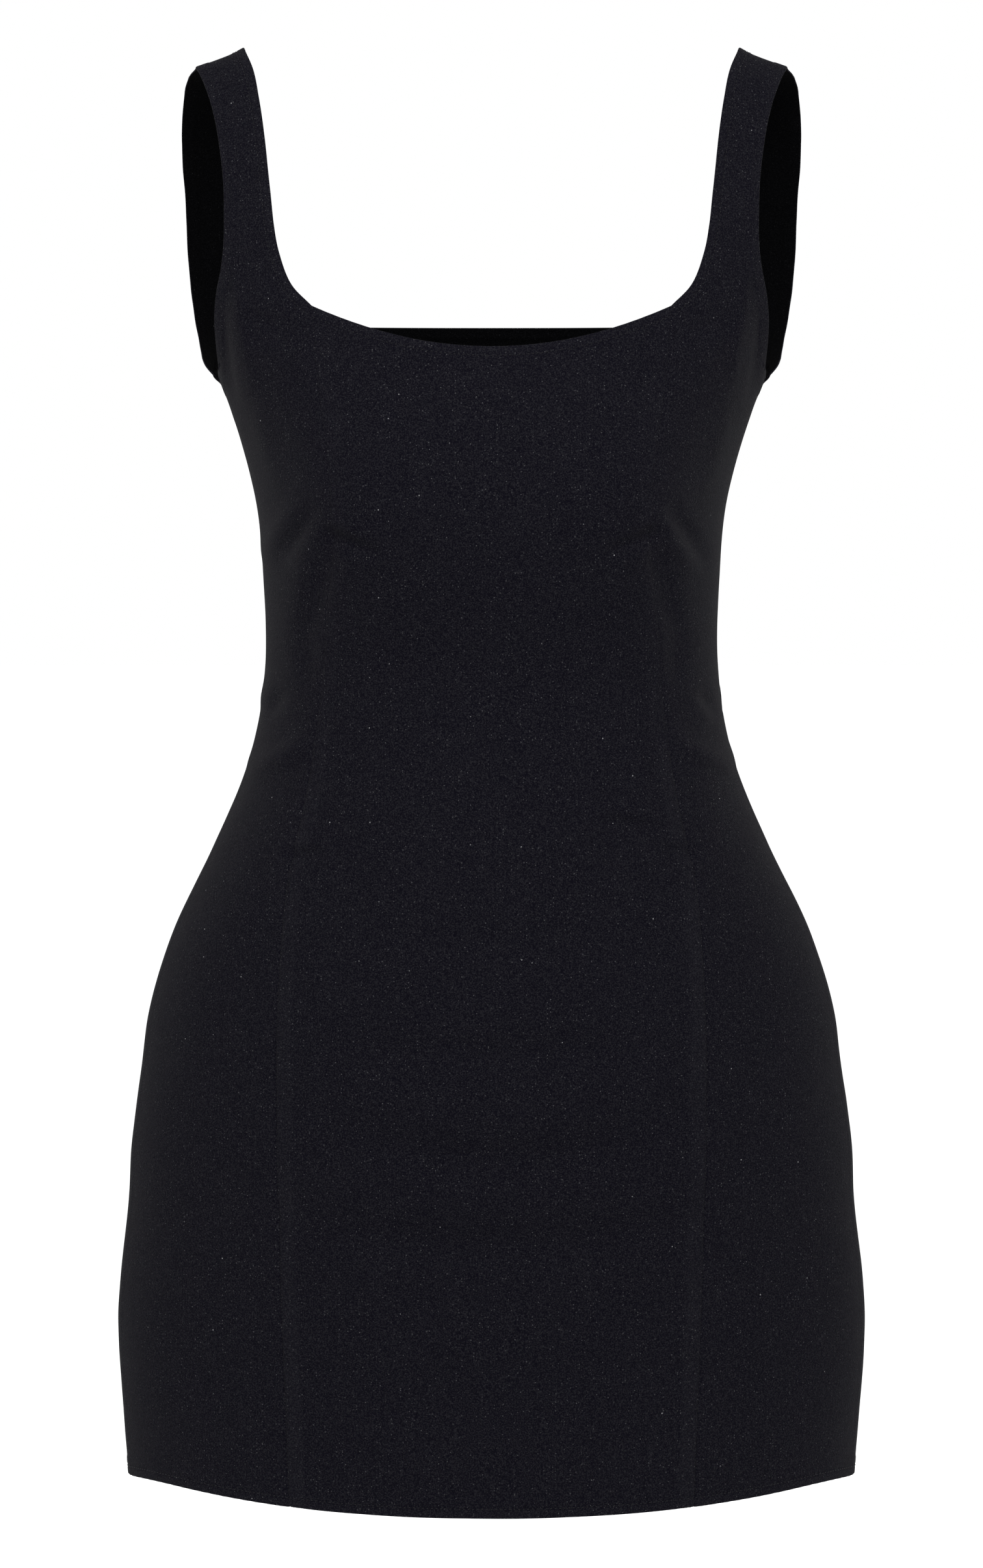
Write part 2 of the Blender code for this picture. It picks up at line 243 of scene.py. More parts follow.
def station_of(drop):
    """The station on the front profile that is this far down."""
    return np.interp(drop, FINE_SECTIONS[:, 0], STATIONS)


def half_width_at(face, station):
    """The front's or the back's half width at any station."""
    drop = size_at("drop", station)
    width = size_at("half_width", station)
    if face == "back":
        width = width + BACK_FLARE * (1 - np.minimum(drop / ARMHOLE_DEPTH, 1) ** BACK_FLARE_POWER)
    return width


def soft_step(value):
    """0 up to zero and 1 from one on, with a smooth rise between them."""
    value = np.clip(value, 0.0, 1.0)
    return value * value * (3 - 2 * value)


def bell(value):
    """1 at zero, falling smoothly away on both sides."""
    return np.exp(-value * value)


def form_point(face, turn, station):
    """A point on the outside of the dress: 'turn' radians round from the left side seam."""
    drop = size_at("drop", station)
    across = np.cos(turn)
    width = half_width_at(face, station)
    x = width * np.sign(across) * np.abs(across) ** (2 / size_at("flat", station))
    depth = size_at(face, station) * np.sign(station)
    round_side = np.sin(turn)
    y = depth * np.sign(round_side) * np.abs(round_side) ** (2 / size_at("round", station))
    if face == "front":
        near = bell((np.abs(x) - BUST_OUT) / BUST_SPREAD) * bell((drop - BUST_DROP) / BUST_HEIGHT)
        y = -y - BUST_RISE * near * np.tanh(y / BUST_SPREAD)
    aside = np.abs(x) - STRAP_INNER
    lift = SHOULDER_LIFT * (1 - np.exp(-np.maximum(aside, 0) / SHOULDER_LIFT_WIDTH))
    fall = (SHOULDER_SLOPE * aside + lift) * (1 - soft_step(drop / SHOULDER_REACH))
    share = np.abs(x) / width
    bow = share ** HEM_BOW_ONSET - share ** HEM_BOW_RETURN
    bow = HEM_BOW * bow * soft_step(1 - (LENGTH - drop) / HEM_BOW_REACH)
    z = WALL - drop - fall + bow
    return np.stack(np.broadcast_arrays(x, y, z), axis=-1)


def outward(face, turn, station):
    """The unit normal of the form, pointing out of the dress."""
    ahead, behind = turn + NUDGE_TURN, turn - NUDGE_TURN
    below, above = station + NUDGE_STATION, station - NUDGE_STATION
    along = form_point(face, ahead, station) - form_point(face, behind, station)
    down = form_point(face, turn, below) - form_point(face, turn, above)
    normal = np.cross(along, down)
    if face == "back":
        normal = -normal
    return normal / np.linalg.norm(normal, axis=-1, keepdims=True)


def turn_at(face, out, station):
    """The turn at which a section reaches 'out' from the centre line."""
    share = np.clip(out / half_width_at(face, station), 0.0, 1.0)
    return np.arccos(share ** (size_at("flat", station) / 2))


def spaced(face, turns, stations, shares):
    """The path through these turns and stations, at these shares of its length."""
    points = form_point(face, turns, stations)
    steps = np.linalg.norm(np.diff(points, axis=0), axis=1)
    length = np.concatenate(([0.0], np.cumsum(steps)))
    wanted = shares * length[-1]
    return np.interp(wanted, length, turns), np.interp(wanted, length, stations)


def graded(length, start=False, end=False):
    """Shares from 0 to 1 whose steps are fine at the start, the end or both, and coarse elsewhere."""
    places = [0.0]
    while places[-1] < length:
        near = min(places[-1] if start else length, length - places[-1] if end else length)
        places.append(places[-1] + FINE_STEP + (COARSE_STEP - FINE_STEP) * min(near / GRADE_REACH, 1))
    return np.array(places) / places[-1]


def fine_path(rows):
    """A smooth, finely stepped curve through the rows of a two-column table."""
    rows = np.array(rows, dtype=float)
    knots = np.concatenate(([0.0], np.cumsum(np.hypot(*np.diff(rows, axis=0).T))))
    return smooth_through(knots, rows, np.linspace(0.0, knots[-1], MEASURE_STEPS)).T


def reach_path(face, rows, shares):
    """A seam or an edge whose table gives its reach from the centre line."""
    drops, outs = fine_path(rows)
    stations = station_of(drops)
    return spaced(face, turn_at(face, outs, stations), stations, shares)


def armhole_path(face, rows, shares):
    """The armhole's edge from the underarm up to the outer end of the shoulder seam."""
    top = Turn(0, np.degrees(turn_at(face, STRAP_OUTER, 0.0)))
    drops, degrees = fine_path(rows + (top,))
    return spaced(face, np.radians(degrees), station_of(drops), shares)


def side_seam_path(face, shares):
    """The side seam from the hem up to the underarm."""
    stations = np.linspace(station_of(LENGTH), station_of(ARMHOLE_DEPTH), MEASURE_STEPS)
    return spaced(face, np.zeros(MEASURE_STEPS), stations, shares)


def joined(lower, upper):
    """Two paths end to end; the place they share is kept once."""
    return tuple(np.concatenate((first, second[1:])) for first, second in zip(lower, upper))


def side_grid(face, seam, strap_edge, armhole):
    """Turns and stations of a side panel, by rows from the hem up and columns from the princess
    seam to the side, and the row in which the seam meets the neckline.
    """
    body = graded(NOMINAL_BODY, start=True)
    strap = graded(NOMINAL_STRAP, end=True)
    inner = joined(reach_path(face, seam, body), reach_path(face, strap_edge, strap))
    outer = joined(side_seam_path(face, body), armhole_path(face, armhole, strap))
    share = np.linspace(0.0, 1.0, MEASURE_STEPS)
    columns = graded(NOMINAL_SIDE, start=True, end=True)
    rows = []
    for turn_in, station_in, turn_out, station_out in zip(*inner, *outer):
        turns = turn_in + (turn_out - turn_in) * share
        stations = station_in + (station_out - station_in) * share
        rows.append(spaced(face, turns, stations, columns))
    return np.array(rows), len(body) - 1


def centre_grid(face, seam, neck_drop):
    """The same for a centre panel, with columns from seam to seam.

    Its upper rows bend with the neckline.
    """
    body = graded(NOMINAL_BODY, start=True, end=True)
    seam_turns, seam_stations = reach_path(face, seam, body)
    share = np.linspace(0.0, 1.0, MEASURE_STEPS)
    columns = graded(NOMINAL_CENTRE, start=True, end=True)
    top_turns = np.pi - seam_turns[-1] + (2 * seam_turns[-1] - np.pi) * share
    top_points = form_point(face, top_turns, np.full(MEASURE_STEPS, seam_stations[-1]))
    dip = neck_drop(np.abs(top_points[:, 0])) - seam[-1].drop
    dip = dip - dip[0]
    rows = []
    for turn, station in zip(seam_turns, seam_stations):
        drop = size_at("drop", station)
        bend = soft_step(1 - (drop - seam[-1].drop) / SCOOP_REACH)
        turns = np.pi - turn + (2 * turn - np.pi) * share
        rows.append(spaced(face, turns, station_of(drop + bend * dip), columns))
    return np.array(rows), len(body) - 1


# ---- Creases, in millimetres ----
FOLD_ASIDE = 1.9          # a fold stands this many trough widths beside its crease
FOLD_WIDE = 1.2           # and is this many wide
CREASE_ROOM = 4           # trough widths round a crease in which it is felt
CREASE_STEPS = 60         # places along a crease from which distances are taken
CREASE_TAPER = 0.8        # the lower, the blunter its ends

# Each crease runs from one place to another past a middle one, as (out, drop): 'out' is towards
# the wearer's left, and 'drop' down from the top of the straps. depth is that of its trough, wide
# is the trough's half width, and ridge the height of the fold that stands beside it: over the
# trough if it is positive, under it if negative. A negative depth makes it a rounded fold.
Crease = namedtuple("Crease", "start middle end depth wide ridge")


def both_sides(creases, shift, change):
    """These creases and their likenesses on the other side, a little moved and changed."""
    moved = []
    for crease in creases:
        places = [(-out + shift[0], drop + shift[1]) for out, drop in crease[:3]]
        moved.append(Crease(*places, crease.depth * change, crease.wide, -crease.ridge * change))
    return tuple(creases) + tuple(moved)


# On the wearer's right of the front, and much the same on the left.
FRONT_CREASES = both_sides((
    # the armhole's edge, and the fold that runs from it to the side of the bust
    Crease((-150, 140), (-150, 172), (-143, 205), 1.6, 4.0, 0.8),
    Crease((-144, 116), (-136, 158), (-132, 198), -1.3, 4.4, 0.0),
    Crease((-132, 188), (-128, 226), (-112, 256), -1.2, 6.0, 0.0),
    # under the strap, where the cloth turns on to the bust
    Crease((-138, 152), (-122, 158), (-98, 165), 1.4, 6.5, 0.6),
    # the side of the bust, and under it
    Crease((-95, 256), (-108, 272), (-122, 292), 2.5, 5.0, 1.6),
    Crease((-85, 266), (-92, 290), (-108, 345), 2.6, 6.5, 0.7),
    Crease((-94, 270), (-80, 277), (-60, 284), 3.2, 4.0, 0.6),
    # the waist, drawn in at the side seam
    Crease((-99, 329), (-104, 344), (-103, 360), 1.4, 6.0, 0.0),
    Crease((-115, 359), (-122, 367), (-129, 376), 1.8, 4.0, 1.0),
    Crease((-138, 406), (-117, 397), (-95, 383), -2.6, 6.0, 0.0),
    Crease((-117, 449), (-105, 449), (-91, 446), 2.6, 3.2, 0.6),
), (0.6, -0.8), 0.92) + (
    Crease((54, 429), (75, 428), (97, 435), 2.7, 3.0, 0.6),
    # drape over the belly
    Crease((-76, 489), (0, 500), (74, 490), 1.1, 10.0, 0.4),
    Crease((-96, 547), (0, 563), (98, 548), 2.0, 10.0, 0.7),
    Crease((-124, 578), (2, 650), (124, 580), 3.0, 12.0, 1.3),
    Crease((-138, 642), (-3, 682), (138, 643), 3.3, 13.0, 1.3),
)
BACK_CREASES = both_sides((
    # under the arm, at the waist, and down beside the princess seam
    Crease((-143, 174), (-134, 192), (-121, 211), 1.2, 5.2, 0.8),
    Crease((-124, 236), (-112, 246), (-92, 250), 1.6, 5.2, 0.9),
    Crease((-129, 352), (-112, 362), (-84, 366), 2.2, 5.4, 1.3),
    Crease((-133, 381), (-114, 386), (-90, 383), 2.8, 5.8, -1.9),
    Crease((-142, 418), (-126, 409), (-104, 404), 2.0, 5.8, -1.1),
    Crease((-58, 630), (-66, 715), (-58, 808), 1.2, 12.0, 0.0),
), (1.5, -3.0), 0.85) + (
    # the small of the back, and under the seat
    Crease((-66, 352), (-4, 360), (58, 350), 2.4, 8.0, 1.4),
    Crease((-48, 379), (8, 386), (70, 377), 2.7, 7.5, 1.5),
    Crease((-112, 612), (0, 654), (108, 608), 1.9, 12.0, 1.2),
)


def crease_height(creases, points):
    """How far the creases raise or lower each point."""
    out, drop = points[..., 0], -points[..., 2]
    height = np.zeros_like(out)
    run = np.linspace(0.0, 1.0, CREASE_STEPS)[:, None]
    for crease in creases:
        start, middle, end = (np.array(place, dtype=float) for place in crease[:3])
        line = start * (1 - run) ** 2 + 2 * middle * run * (1 - run) + end * run ** 2
        room = CREASE_ROOM * crease.wide
        low, high = line.min(axis=0) - room, line.max(axis=0) + room
        near = (out > low[0]) & (out < high[0]) & (drop > low[1]) & (drop < high[1])
        if not near.any():
            continue
        places = np.stack((out[near], drop[near]), axis=-1)
        gaps = places[:, None, :] - line[None, :, :]
        nearest = np.argmin((gaps ** 2).sum(axis=-1), axis=1)
        tangent = np.gradient(line, axis=0)
        tangent /= np.linalg.norm(tangent, axis=1, keepdims=True)
        tangent = tangent if tangent[:, 0].sum() > 0 else -tangent
        gap = gaps[np.arange(len(nearest)), nearest]
        aside = gap[:, 0] * tangent[nearest, 1] - gap[:, 1] * tangent[nearest, 0]
        beyond = gap[:, 0] * tangent[nearest, 0] + gap[:, 1] * tangent[nearest, 1]
        taper = np.clip(np.sin(np.pi * run[nearest, 0]), 0.0, 1.0) ** CREASE_TAPER
        fade = taper * bell(beyond / crease.wide)
        trough = -crease.depth * bell(aside / crease.wide)
        from_fold = aside - np.sign(crease.ridge) * FOLD_ASIDE * crease.wide
        fold = abs(crease.ridge) * bell(from_fold / (FOLD_WIDE * crease.wide))
        height[near] += (trough + fold) * fade
    return height


# ---- Panels ----
MIRROR = np.array([-1, 1, 1])


class Panel:
    """One cut piece of the dress: its grid on the form, and the lines along its edges."""

    def __init__(self, name, face, grid, corner, centre=False, mirrored=False):
        self.name, self.face, self.centre, self.mirrored = name, face, centre, mirrored
        self.points = form_point(face, grid[:, 0], grid[:, 1])
        self.normals = outward(face, grid[:, 0], grid[:, 1])
        if mirrored:
            self.points = self.points * MIRROR
            self.normals = self.normals * MIRROR
        points = self.points
        if centre:
            lines = {"princess": [points[:, 0], points[:, -1]], "neck": [points[-1]]}
        else:
            lines = {"princess": [points[:corner + 1, 0]], "neck": [points[corner:, 0]],
                     "side": [points[:corner + 1, -1]], "armhole": [points[corner:, -1]],
                     "shoulder": [points[-1]]}
        lines["hem"] = [points[0]]
        self.trees = {kind: tree_of(found) for kind, found in lines.items()}


def tree_of(lines):
    """A search tree over closely spaced places along these lines."""
    places = []
    for line in lines:
        length = np.concatenate(([0.0], np.cumsum(np.linalg.norm(np.diff(line, axis=0), axis=1))))
        at = np.arange(0.0, length[-1] + FINE_STEP, FINE_STEP)
        places.append(np.stack([np.interp(at, length, line[:, axis]) for axis in range(3)], axis=-1))
    places = np.concatenate(places)
    tree = kdtree.KDTree(len(places))
    for index, place in enumerate(places):
        tree.insert(place, index)
    tree.balance()
    return tree


def distances(panel):
    """How far each of the panel's points is from each kind of edge it has."""
    flat = panel.points.reshape(-1, 3).tolist()
    found = {}
    for kind, tree in panel.trees.items():
        gaps = np.array([tree.find(place)[2] for place in flat])
        found[kind] = gaps.reshape(panel.points.shape[:-1])
    return found


def sway(points):
    """Soft unevenness of the cloth, with no rhythm to it."""
    flat = points.reshape(-1, 3).tolist()
    broad = [noise.noise(Vector(place) / SWAY_LENGTH) for place in flat]
    small = [noise.noise(Vector(place) / RIPPLE_LENGTH) for place in flat]
    return (SWAY * np.array(broad) + RIPPLE * np.array(small)).reshape(points.shape[:-1])


# Open edges: how wide the cloth is turned under, and how far in the stitches run.
TURNED = (("neck", NECK_TURN), ("armhole", ARMHOLE_TURN), ("hem", HEM_TURN))
STITCHED = (("neck", NECK_STITCH), ("hem", HEM_STITCH))


def relief(panel, near):
    """Height of the outer face over the form, thickness of the cloth, and how strongly an
    allowance is pressed through it: it raises a band, and the material paints a sheen along it.
    """
    drop = -panel.points[..., 2]
    height = sway(panel.points)
    creases = FRONT_CREASES if panel.face == "front" else BACK_CREASES
    height += crease_height(creases, panel.points)
    layers = np.ones_like(height)
    for kind, width in TURNED:
        if kind in near:
            turned = 1 - soft_step((near[kind] - width) / TURN_EDGE)
            layers = np.maximum(layers, 1 + turned)
            height += TURN_RISE * turned
    for kind, place in STITCHED:
        if kind in near:
            height -= CHANNEL_DEPTH * bell((near[kind] - place) / CHANNEL_WIDTH)
    grown = soft_step((drop - SEAM_SHOWS_DROP) / SEAM_SHOWS_REACH)
    strength = SEAM_SHOWS_LEAST + (1 - SEAM_SHOWS_LEAST) * grown
    for kind in ("princess", "side", "shoulder"):
        if kind in near:
            height -= GROOVE_DEPTH * strength * bell(near[kind] / GROOVE_WIDTH)
            height -= APPROACH_DEPTH * strength * bell(near[kind] / APPROACH_WIDTH)
    kind = "princess" if panel.centre else "side"
    under = 1 - soft_step((near[kind] - BAND_WIDTH) / BAND_EDGE)
    waves = np.sin(drop / BAND_WAVES[0]) * np.sin(drop / BAND_WAVES[1])
    pressed_band_and_sheen = under * strength * (1 + BAND_UNEVEN * waves)
    height += BAND_RISE * pressed_band_and_sheen
    allowance = PRESSED_LAYERS if panel.centre else OPEN_LAYERS
    return height, CLOTH * (layers + allowance * under), pressed_band_and_sheen


def edge_roll(near, thickness):
    """How far the two faces of the cloth have closed in on each other beside an open edge."""
    roll = np.zeros_like(thickness)
    for kind, _ in TURNED:
        if kind in near:
            radius = thickness / 2
            gap = np.clip(radius - near[kind], 0, None)
            roll = np.maximum(roll, radius - np.sqrt(np.clip(radius ** 2 - gap ** 2, 0, None)))
    return np.minimum(roll, thickness / 2 - RIM / 2)


def cloth_faces(panel):
    """The outer and inner face of a panel, its distances from its edges, and its pressed bands, which
    carry a painted sheen.
    """
    near = distances(panel)
    height, thickness, pressed_band_and_sheen = relief(panel, near)
    roll = edge_roll(near, thickness)
    outer = panel.points + panel.normals * (height - roll)[..., None]
    inner = panel.points + panel.normals * (height - thickness + roll)[..., None]
    if not panel.centre:
        # Cloth of the front stops at the plane of the side seams, where that of the back begins.
        behind = 1 if panel.face == "back" else -1
        for face in (outer, inner):
            face[..., 1] = behind * np.maximum(face[..., 1] * behind, 0.0)
    return outer, inner, near, pressed_band_and_sheen


def add_object(name, data):
    shown = bpy.data.objects.new(name, data)
    bpy.context.scene.collection.objects.link(shown)
    return shown


def add_mesh(name, points, faces, materials):
    """A smooth mesh in the scene, from points in metres."""
    mesh = bpy.data.meshes.new(name)
    mesh.from_pydata(points, [], faces)
    mesh.shade_smooth()
    for material in materials:
        mesh.materials.append(material)
    return add_object(name, mesh)


def closed_sheet(name, outer, inner, materials):
    """A closed mesh from the two faces of a sheet, joined round their rims."""
    rows, columns = outer.shape[:2]
    points = np.concatenate((outer.reshape(-1, 3), inner.reshape(-1, 3))) * MM
    order = np.arange(rows * columns).reshape(rows, columns)
    quads = np.stack((order[:-1, :-1], order[:-1, 1:], order[1:, 1:], order[1:, :-1]), axis=-1)
    quads = quads.reshape(-1, 4)
    rim = np.concatenate((order[0, :-1], order[:-1, -1], order[-1, :0:-1], order[:0:-1, 0]))
    ahead = np.roll(rim, -1)
    under = rows * columns
    walls = np.stack((rim, rim + under, ahead + under, ahead), axis=-1)
    faces = np.concatenate((quads, quads[:, ::-1] + under, walls))
    # The faces are turned round if the one in the middle looks into the dress.
    row, column = rows // 2, columns // 2
    here = outer[row, column]
    facing = np.cross(outer[row, column + 1] - here, outer[row + 1, column] - here)
    if np.dot(facing, here - inner[row, column]) < 0:
        faces = faces[:, ::-1]
    return add_mesh(name, points.tolist(), faces.tolist(), materials)


def add_value(shown, name, values):
    """A number at each point of the mesh, for its material to read."""
    attribute = shown.data.attributes.new(name, "FLOAT", "POINT")
    flat = np.concatenate([part.ravel() for part in values])
    attribute.data.foreach_set("value", flat.astype(np.float32))


def build_panel(panel, crepe, wrong_side_painted_shade, thread):
    """The cloth of a panel and its stitches, as two pieces."""
    outer, inner, near, pressed_band_and_sheen = cloth_faces(panel)
    shown = closed_sheet(panel.name + "_cloth", outer, inner, (crepe, wrong_side_painted_shade))
    edge = np.min([near[kind] for kind, _ in TURNED if kind in near], axis=0)
    unmarked = np.zeros_like(edge)
    # Paler cloth near the open edges, and the pressed bands, whose lighter colour is a painted sheen.
    add_value(shown, "pale_by_edge", (bell((edge - PALEST_FROM_EDGE) / PALE_BAND_WIDTH), unmarked))
    add_value(shown, "pressed_band_and_sheen", (pressed_band_and_sheen, unmarked))
    # The inner face comes after the outer one, and shows the wrong side of the crepe, darkened as
    # painted shade.
    quads = (edge.shape[0] - 1) * (edge.shape[1] - 1)
    inside = np.zeros(len(shown.data.polygons), dtype=np.int32)
    inside[quads:2 * quads] = 1
    shown.data.polygons.foreach_set("material_index", inside)
    return shown, stitching(panel, outer, near, thread)


# ---- Stitching ----
def line_in_from(panel, kind, place, near, values):
    """Values on the outer face, along the line that runs this far in from an open edge."""
    gap = near[kind]
    # Each path is a row or a column of the grid, read from the edge inwards.
    if kind == "hem":
        paths = [(slice(None), column) for column in range(gap.shape[1])]
    elif panel.centre:
        paths = [(slice(None, None, -1), column) for column in range(gap.shape[1])]
    else:
        paths = [(row, slice(None)) for row in range(gap.shape[0]) if gap[row, 0] < place]
    line = []
    for path in paths:
        run, found = gap[path], values[path]
        step = int(np.argmax(run > place))
        share = (place - run[step - 1]) / (run[step] - run[step - 1])
        line.append(found[step - 1] * (1 - share) + found[step] * share)
    return np.array(line)


def stitches_along(line):
    """Points of small pointed threads, one to each stitch, along a line of places and normals."""
    steps = np.linalg.norm(np.diff(line[:, :3], axis=0), axis=1)
    length = np.concatenate(([0.0], np.cumsum(steps)))
    count = int(length[-1] / STITCH_PITCH)
    middles = (np.arange(count) + 0.5) * length[-1] / count

    def read(at):
        return np.stack([np.interp(at, length, line[:, axis]) for axis in range(6)], axis=-1)

    around = np.linspace(0.0, 2 * np.pi, THREAD_SIDES, endpoint=False)
    points = []
    for middle in middles:
        places = read(middle + STITCH_LENGTH * np.array([-0.5, -0.25, 0.25, 0.5]))
        along = places[3, :3] - places[0, :3]
        along /= np.linalg.norm(along)
        up = places[1, 3:]
        aside = np.cross(along, up)
        rings = np.cos(around)[:, None] * up + np.sin(around)[:, None] * aside
        points.append(places[:1, :3] - STITCH_SINK * up)
        points += [place[:3] + STITCH_LIFT * up + STITCH_RADIUS * rings for place in places[1:3]]
        points.append(places[3:, :3] - STITCH_SINK * up)
    return np.concatenate(points)


def stitching(panel, outer, near, thread):
    """The topstitching beside a panel's neckline and hem."""
    values = np.concatenate((outer, panel.normals), axis=-1)
    points = [stitches_along(line_in_from(panel, kind, place, near, values))
              for kind, place in STITCHED if kind in near]
    points = np.concatenate(points) * MM
    each = 2 * THREAD_SIDES + 2   # a tip, two rings and another tip
    faces = []
    for first in range(0, len(points), each):
        for side in range(THREAD_SIDES):
            here, ahead = first + 1 + side, first + 1 + (side + 1) % THREAD_SIDES
            faces.append([first, ahead, here])
            faces.append([here, ahead, ahead + THREAD_SIDES, here + THREAD_SIDES])
            faces.append([here + THREAD_SIDES, ahead + THREAD_SIDES, first + each - 1])
    return add_mesh(panel.name + "_stitching", points.tolist(), faces, (thread,))


# ---- Materials. Colours are linear, and textures are scaled in metres ----
# The grain of the crepe. per_metre: about how many grains to the metre. rough: how strong its
# finer detail is. It is read between low and high, where it adds 'least' and 'most' to the tone,
# from 0 for the dark colour to 1 for the light one. depth: how far it stands up, in metres.
Grain = namedtuple("Grain", "per_metre rough low high least most depth")
GRAINS = (
    Grain(520.0, 0.6, 0.3, 0.7, -0.01, 0.03, 0.0008),    # pebbles
    Grain(1350.0, 0.6, 0.44, 0.7, 0.0, 1.0, 0.0018),     # crinkle
    Grain(38.0, 0.5, 0.3, 0.7, -0.01, 0.02, 0.0),        # clouds
)
PALER = (("pressed_band_and_sheen", 0.12), ("pale_by_edge", 0.06))   # a painted sheen along the pressed allowances, and paler cloth near the open edges, as lifts of the tone

# Lint: specks in some of the cells of a scatter. radius: in millimetres. share: how many of the
# cells have one. strength: that of the strongest, whose middle is all lint if it is over 1.
Lint = namedtuple("Lint", "per_metre radius share strength")
LINT = (
    Lint(620.0, 0.38, 0.45, 0.32),
    Lint(180.0, 0.42, 0.11, 2.3),
)
LINT_CORE = 0.4           # share of its radius over which a speck is at its strongest

# The two sides of the crepe: the dark and light colours of its grain, that of its lint, and gloss.
Finish = namedtuple("Finish", "name dark light lint gloss")
RIGHT_SIDE = Finish(
    "crepe", (0.0010, 0.0008, 0.0024, 1), (0.0081, 0.0079, 0.0099, 1), (0.12, 0.12, 0.124, 1), 0.030)
# The wrong side's colours and lint are far darker than the crepe's own: painted shade, for the shade
# inside the dress.
WRONG_SIDE_PAINTED_SHADE = Finish(
    "crepe_wrong_side_painted_shade", (0.0005, 0.0005, 0.0007, 1), (0.0018, 0.0018, 0.0021, 1),
    (0.017, 0.017, 0.018, 1), 0.013)
SHEEN_SHARE = 0.2         # sheen, as a share of the gloss
SHEEN_TINT = (1.0, 0.98, 0.85, 1)
DETAIL = 2.0              # finer layers of noise in every grain
BUMP_STRENGTH = 0.5

THREAD_COLOUR = (0.0035, 0.0033, 0.0048, 1)
THREAD_PER_METRE = 2500.0
THREAD_ROUGH = 0.5
THREAD_DEPTH = 0.0001
FLOOR_COLOUR = (0.98, 0.98, 0.98, 1)
FLOOR_GLOW = 0.06
WHITE = (1, 1, 1, 1)


class Look:
    """A new material, with the nodes that feed its shader."""

    def __init__(self, name):
        self.material = bpy.data.materials.new(name)
        self.material.use_nodes = True
        self.tree = self.material.node_tree
        self.shader = self.tree.nodes["Principled BSDF"]

    def new(self, kind):
        return self.tree.nodes.new("ShaderNode" + kind)

    def place(self):
        """Where each point is in its own object, in metres."""
        return self.new("TexCoord").outputs["Object"]

    def feed(self, node, inputs):
        """Give a node's inputs their constants, or links from other nodes, and get its outputs."""
        for name, value in inputs.items():
            if isinstance(value, bpy.types.NodeSocket):
                self.tree.links.new(value, node.inputs[name])
            else:
                node.inputs[name].default_value = value
        return node.outputs

    def noise(self, per_metre, rough):
        inputs = {"Vector": self.place(), "Scale": per_metre, "Detail": DETAIL, "Roughness": rough}
        return self.feed(self.new("TexNoise"), inputs)["Fac"]

    def mapped(self, value, low, high, least, most):
        """The value, with low..high stretched to least..most and kept within them."""
        inputs = {"Value": value, "From Min": low, "From Max": high, "To Min": least, "To Max": most}
        return self.feed(self.new("MapRange"), inputs)["Result"]

    def calculated(self, operation, first, second):
        node = self.new("Math")
        node.operation = operation
        return self.feed(node, {0: first, 1: second})["Value"]

    def point_value(self, name):
        """A number that the mesh has at each of its points."""
        node = self.new("Attribute")
        node.attribute_name = name
        return node.outputs["Fac"]

    def blended(self, factor, first, second):
        node = self.new("Mix")
        node.data_type = "RGBA"
        return self.feed(node, {"Factor": factor, "A": first, "B": second})["Result"]

    def specks(self, colour, lint, tint):
        """Round specks over a colour, in cells picked by chance, each as strong as chance has it."""
        inputs = {"Vector": self.place(), "Scale": lint.per_metre}
        scatter = self.feed(self.new("TexVoronoi"), inputs)
        split = self.feed(self.new("SeparateColor"), {"Color": scatter["Color"]})
        reach = lint.radius * MM * lint.per_metre
        shape = self.mapped(scatter["Distance"], reach, reach * LINT_CORE, 0, lint.strength)
        picked = self.mapped(split["Red"], 1 - lint.share, 1, 0, 1)
        return self.blended(self.calculated("MULTIPLY", shape, picked), colour, tint)

    def bump(self, height, depth, over=None):
        """The surface's normal where this height stands up, over another bump if there is one."""
        inputs = {"Height": height, "Distance": depth, "Strength": BUMP_STRENGTH}
        if over is not None:
            inputs["Normal"] = over
        return self.feed(self.new("Bump"), inputs)["Normal"]


def crepe_material(finish):
    """Matt black stretch crepe: a fine pebbled grain, with stray specks of lint, paler cloth near the
    open edges and a painted sheen along the pressed allowances.
    """
    look = Look(finish.name)
    tone, normal = 0.0, None
    for grain in GRAINS:
        height = look.noise(grain.per_metre, grain.rough)
        lift = look.mapped(height, grain.low, grain.high, grain.least, grain.most)
        tone = look.calculated("ADD", tone, lift)
        if grain.depth > 0:
            normal = look.bump(height, grain.depth, normal)
    # a painted sheen along the pressed allowances, and paler cloth near the open edges
    for source, most in PALER:
        lift = look.mapped(look.point_value(source), 0, 1, 0, most)
        tone = look.calculated("ADD", tone, lift)
    colour = look.blended(tone, finish.dark, finish.light)
    for lint in LINT:
        colour = look.specks(colour, lint, finish.lint)
    look.feed(look.shader, {
        "Base Color": colour,
        "Normal": normal,
        "Roughness": 0.85,
        "Specular IOR Level": finish.gloss,
        "Sheen Weight": finish.gloss * SHEEN_SHARE,
        "Sheen Roughness": 0.4,
        "Sheen Tint": SHEEN_TINT,
    })
    return look.material


def thread_material():
    look = Look("thread")
    grain = look.noise(THREAD_PER_METRE, THREAD_ROUGH)
    look.feed(look.shader, {
        "Base Color": THREAD_COLOUR,
        "Normal": look.bump(grain, THREAD_DEPTH),
        "Roughness": 0.65,
        "Specular IOR Level": 0.12,
    })
    return look.material


def floor_material():
    look = Look("pale_floor")
    look.feed(look.shader, {
        "Base Color": FLOOR_COLOUR,
        "Emission Color": WHITE,
        "Emission Strength": FLOOR_GLOW,
        "Roughness": 0.9,
        "Specular IOR Level": 0.0,
    })
    return look.material


